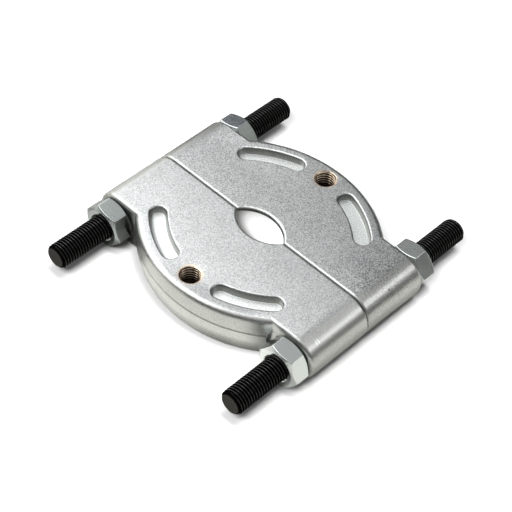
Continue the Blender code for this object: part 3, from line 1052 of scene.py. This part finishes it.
def oiled_black_oxide():
    """Groove, crest and sawn end, by distance from the rod's axis and from its middle."""
    made, tree = new_material("oiled_black_oxide")
    where = add(tree, "TexCoord").outputs["Object"]
    x, y, z = add(tree, "SeparateXYZ", where).outputs
    aside = add(tree, "Math", x, operation="ABSOLUTE")
    off_x = add(tree, "Math", aside, STUD_X * MM, operation="SUBTRACT")
    off_z = add(tree, "Math", z, STUD_Z * MM, operation="SUBTRACT")
    off_axis = add(tree, "CombineXYZ", off_x, off_z)
    at = {
        "radius": add(tree, "VectorMath", off_axis, operation="LENGTH"),
        "along": add(tree, "Math", y, operation="ABSOLUTE"),
    }
    crest = mask(tree, at, ("radius", *CREST_FROM, 0.0, 1.0, "soft"))
    sawn = mask(tree, at, ("along", *SAWN_FROM, 0.0, 1.0))
    mottle = add(tree, "TexNoise", where, Scale=1 / (MOTTLE_MM * MM), Detail=3.0)
    oiled = add(tree, "MapRange", mottle, NOISE_LOW, NOISE_HIGH, *OILED)
    # Black oxide is no metal to the eye: deep black, with a thin oily shine on the crests only.
    shader = add(
        tree, "BsdfPrincipled",
        Base_Color=mixed(tree, GROOVE_TONE, (crest, CREST_TONE), (sawn, SAWN_TONE)),
        Metallic=0.0,
        Roughness=add(tree, "Mix", crest, DRY_ROUGHNESS, oiled, data_type="FLOAT"),
        Specular_IOR_Level=add(tree, "MapRange", crest, To_Min=SHEEN[0], To_Max=SHEEN[1]),
    )
    add(tree, "OutputMaterial", Surface=shader)
    return made


black_oxide = oiled_black_oxide()
for rod in (left_rod, right_rod):
    wear(rod, black_oxide)
print("stud finish:", len(black_oxide.node_tree.nodes), "nodes")

# %% [markdown]
# ## Bright zinc on the nuts
#
# The nuts are turned and plated, not blasted, so they are smoother than the plates and mirror
# the studio more clearly, with the slightly blue-green grey of clear-passivated zinc. Their
# upper faces are painted darker, as painted shade. The near left nut is painted greyer all over
# and the far left one darker on the side that faces right, both painted shade. The direction of
# the surface, its normal, tells those sides apart.

# %% Nut finish
STAIN_MM = 6
UPWARD = (0.5, 0.9)
RIGHTWARD = (0.35, 0.6)
NUT_ROUGHNESS = (0.20, 0.24)


def clear_zinc(name, side_hex, upper_shade_hex, right_shade_hex=None):
    """Painted shade by the surface's direction: sides, darker upper faces and, if given, darker faces to
    the right.
    """
    made, tree = new_material(name)
    where = add(tree, "TexCoord").outputs["Object"]
    facing = add(tree, "SeparateXYZ", add(tree, "NewGeometry").outputs["Normal"]).outputs
    # Painted shade: faces turned upwards take the darker upper colour.
    upper_shade = add(tree, "MapRange", facing["Z"], *UPWARD, interpolation_type="SMOOTHSTEP")
    tone = mixed(tree, side_hex, (upper_shade, upper_shade_hex))
    if right_shade_hex:
        # Painted shade: faces turned to the right take the darker right colour.
        right_shade = add(tree, "MapRange", facing["X"], *RIGHTWARD, interpolation_type="SMOOTHSTEP")
        tone = mixed(tree, tone, (right_shade, right_shade_hex))
    stain = add(tree, "TexNoise", where, Scale=1 / (STAIN_MM * MM), Detail=4.0)
    # Smooth zinc: a metal whose low roughness shows clear, slightly soft mirrorings of the room.
    shader = add(tree, "BsdfPrincipled", Base_Color=tone, Metallic=1.0,
                 Roughness=add(tree, "MapRange", stain, NOISE_LOW, NOISE_HIGH, *NUT_ROUGHNESS))
    add(tree, "OutputMaterial", Surface=shader)
    return made


# The darker upper colours, the greyer near left nut and the far left nut's dark right side are painted
# shade.
nut_zinc = clear_zinc("clear_passivated_zinc", "#ced3d1", "#a8adac")
shaded_grey_zinc = clear_zinc("shaded_grey_passivated_zinc", "#989d9c", "#8f9493")
right_shaded_zinc = clear_zinc("right_shaded_passivated_zinc", "#ced3d1", "#b8bfc4", "#626663")
for nut in nuts.values():
    wear(nut, nut_zinc)
wear(nuts["near", "left"], shaded_grey_zinc)
wear(nuts["far", "left"], right_shaded_zinc)
print("nut finishes:", sorted({nut.data.materials[0].name for nut in nuts.values()}))

# %% [markdown]
# ## The paper
#
# The tool stands on white paper, which only has to be matt and pale. A patch of soft light below
# the opening stands for the light that falls through it. A lamp aimed there would also light
# the knife edge, so the patch is an oval in the paper's own material: the offset from its middle
# is divided by its half sizes, and the length of the result is 1 on the oval.

# %% Floor
FLOOR_HALF_M = 2.2
PATCH_MIDDLE_M = (-0.012, 0.023, 0.0)
PATCH_HALF_M = (0.019, 0.010, 1.0)
PATCH_FADES = (0.75, 1.5)
PATCH_GLOW = 0.85
PAPER_ROUGHNESS = 0.9
PAPER_GLOSS = 0.1


def flat_square(name, half, height):
    """A square sheet of four points at one height, in metres."""
    mesh = bpy.data.meshes.new(name)
    corners = [(side_x * half, side_y * half, height)
               for side_x, side_y in ((-1, -1), (1, -1), (1, 1), (-1, 1))]
    mesh.from_pydata(corners, [], [(0, 1, 2, 3)])
    sheet = bpy.data.objects.new(name, mesh)
    bpy.context.scene.collection.objects.link(sheet)
    return sheet


def white_paper():
    """Matt paper, with a glow that fades to nothing between two multiples of the oval."""
    made, tree = new_material("white_paper")
    where = add(tree, "TexCoord").outputs["Object"]
    offset = add(tree, "VectorMath", where, PATCH_MIDDLE_M, operation="SUBTRACT")
    in_oval = add(tree, "VectorMath", offset, PATCH_HALF_M, operation="DIVIDE")
    away = add(tree, "VectorMath", in_oval, operation="LENGTH")
    glow = add(tree, "MapRange", away, *PATCH_FADES, PATCH_GLOW, 0.0, interpolation_type="SMOOTHSTEP")
    # Uncoated paper has hardly any gloss, so the eye sees only light and soft shadow on it.
    shader = add(tree, "BsdfPrincipled", Base_Color="#a8a8a8", Roughness=PAPER_ROUGHNESS,
                 Specular_IOR_Level=PAPER_GLOSS, Emission_Color="#ffffff", Emission_Strength=glow)
    add(tree, "OutputMaterial", Surface=shader)
    return made


floor = flat_square("paper_floor", FLOOR_HALF_M, 0.0)
wear(floor, white_paper())
print("paper:", FLOOR_HALF_M * 2, "m wide")

# %% [markdown]
# ## The paper as the metal sees it
#
# Polished metal shows its surroundings, so the zones of light on the paper matter: bright close
# to the front wall and fading into the room, darker beside both round ends and again brighter
# farther out. A clear sheet just over the floor carries those zones as a tint that only reflected
# rays pass through, and the shadows of the real floor show through it.

# %% Zones of light on the paper
SHEET_HALF_M = 2.0
SHEET_Z_M = 0.0004
LEFT_NUT_M = (-0.064, -0.056, 0.0)
BLUE_SHARE = 0.95
FRONT_ZONE = [("away", 92, 108, 1.15, 0.92), ("away", 108, 240, 1.0, 0.35)]
RIGHT_ZONE = [("x", 96, 118, 0.40, 0.79), ("x", 150, 400, 1.0, 0.8), ("y", 5, 60, 1.0, 1.25, "soft")]
LEFT_ZONE = [("x", -92, -115, 1.0, 0.46), ("x", -150, -230, 1.0, 2.55),
             ("lean", -45, -10, 1.0, 0.35, "soft")]
TO_RIGHT = [("x", 70, 92, 0.0, 1.0, "soft")]
TO_LEFT = [("x", -30, -85, 0.0, 1.0, "soft")]
# Painted shadows, seen only in reflections: under the wall's foot on the right and under the near left
# nut.
UNDER_WALL = [("away", 86, 94, 0.62, 0.0, "soft"), ("x", -10, 35, 0.0, 1.0, "soft")]
UNDER_NUT = [("from_nut", 10, 22, 0.7, 0.0, "soft")]


def zoned_light():
    """Tint = blend of a front, a left and a right zone by x, with painted shadows under the wall and a
    nut.
    """
    made, tree = new_material("light_zones")
    where = add(tree, "TexCoord").outputs["Object"]
    x, y = add(tree, "SeparateXYZ", where).outputs[:2]
    at = {
        "x": x,
        "y": y,
        "lean": add(tree, "Math", x, 0.5, y, operation="MULTIPLY_ADD"),
        "away": add(tree, "VectorMath", where, (0.0, PLATE_Y * MM, 0.0), operation="DISTANCE"),
        "from_nut": add(tree, "VectorMath", where, LEFT_NUT_M, operation="DISTANCE"),
    }
    level = mask(tree, at, *FRONT_ZONE)
    for share, zone in ((TO_RIGHT, mask(tree, at, *RIGHT_ZONE)), (TO_LEFT, mask(tree, at, *LEFT_ZONE)),
                        (UNDER_WALL, 0.0), (UNDER_NUT, 0.0)):
        level = add(tree, "Mix", mask(tree, at, *share), level, zone, data_type="FLOAT")
    cooler = add(tree, "Math", level, BLUE_SHARE, operation="MULTIPLY")
    tint = add(tree, "CombineColor", level, level, cooler)
    # A clear filter: to the eye it is nothing, but mirrored paper looks darker or warmer by zone.
    add(tree, "OutputMaterial", Surface=add(tree, "BsdfTransparent", tint))
    return made


sheet = flat_square("light_zones", SHEET_HALF_M, SHEET_Z_M)
wear(sheet, zoned_light())
sheet.visible_camera = False
sheet.visible_diffuse = False
sheet.visible_shadow = False
print("zones:", SHEET_HALF_M * 2, "m wide,", SHEET_Z_M / MM, "mm over the paper")

# %% [markdown]
# ## Panels and lamps
#
# Bright metal and matt paper want different lamps, so each lamp here serves one of them. The
# metal mirrors four panels: a big softbox to the left, a smaller one overhead, a strip on the
# right for the bright line along the round end, and a small card on the left. The paper is lit by
# two lamps, one over the camera and one overhead, which only the paper sees.
#
# A panel is an area light that faces a target. Its brightness is given as radiance, the light
# that leaves each bit of its face, so a panel can grow without changing how bright it looks.

# %% Lights


def panel(name, at, facing, size, radiance, seen_by):
    """A soft panel facing a target, lengths in mm. Blender's watts are 4 x radiance x area."""
    data = bpy.data.lights.new(name, "AREA")
    data.shape = "RECTANGLE"
    data.size, data.size_y = (length * MM for length in size)
    data.energy = 4 * radiance * data.size * data.size_y
    lamp = bpy.data.objects.new(name, data)
    lamp.location = Vector(at) * MM
    lamp.rotation_euler = (Vector(at) - Vector(facing)).to_track_quat("Z", "Y").to_euler()
    lamp.visible_glossy = seen_by == "metal"
    lamp.visible_diffuse = seen_by == "paper"
    bpy.context.scene.collection.objects.link(lamp)


panel("key_softbox", at=(-693, -278, 760), facing=(27, -148, 10), size=(1650, 1350),
      radiance=2.1, seen_by="metal")
panel("top_softbox", at=(-160, -210, 1270), facing=(0, 0, 20), size=(350, 750),
      radiance=1.9, seen_by="metal")
panel("right_strip", at=(650, 376, 508), facing=(80, 0, 20), size=(560, 240),
      radiance=2.1, seen_by="metal")
panel("left_card", at=(-335, 96, 120), facing=(-80, -15, 25), size=(145, 155),
      radiance=0.9, seen_by="metal")
panel("camera_side_lamp", at=(260, -1080, 1640), facing=(0, 0, 0), size=(900, 540),
      radiance=36, seen_by="paper")
panel("overhead_lamp", at=(255, 20, 1940), facing=(0, 0, 0), size=(440, 900),
      radiance=38.5, seen_by="paper")

# %% [markdown]
# ## The room
#
# The room is dark near the horizon and bright above. That dark band is what draws the line under
# the rounded rim, and the light from above keeps the shadows on the paper soft and grey. The
# world's colour is white, and its strength rises with the height of the direction looked in.

# %% World
DARK_BELOW, BRIGHT_FROM = 0.40, 1.0
HORIZON_STRENGTH, ZENITH_STRENGTH = 0.15, 0.98

world = bpy.data.worlds.new("studio_room")
world.use_nodes = True
room = world.node_tree
room.nodes.clear()
height = add(room, "SeparateXYZ", add(room, "TexCoord").outputs["Generated"]).outputs["Z"]
rising = add(room, "MapRange", height, DARK_BELOW, BRIGHT_FROM, HORIZON_STRENGTH, ZENITH_STRENGTH,
             interpolation_type="SMOOTHSTEP")
add(room, "OutputWorld", Surface=add(room, "Background", "#ffffff", rising))
bpy.context.scene.world = world
print("room:", HORIZON_STRENGTH, "at the horizon,", ZENITH_STRENGTH, "overhead")

# %% [markdown]
# ## Hang every piece on the model
#
# Each surface made here stands for one node of the imported model, rides on that node's body and
# hides that node's imported mesh.

# %% Ride and replace
dressed = [
    (near_plate, "near_half", "near_half", "near_half_steel"),
    (far_plate, "far_half", "far_half", "far_half_steel"),
    (left_rod, "studs", "left_stud", "stud_black_oxide"),
    (right_rod, "studs", "right_stud", "stud_black_oxide"),
]
for (end, side), nut in nuts.items():
    dressed.append((nut, f"{end}_{side}_nut", f"{end}_{side}_nut", "nut_zinc"))
for piece, body, node, slot in dressed:
    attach(piece, body)
    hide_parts(node)
print("pieces on the model:", len(dressed))
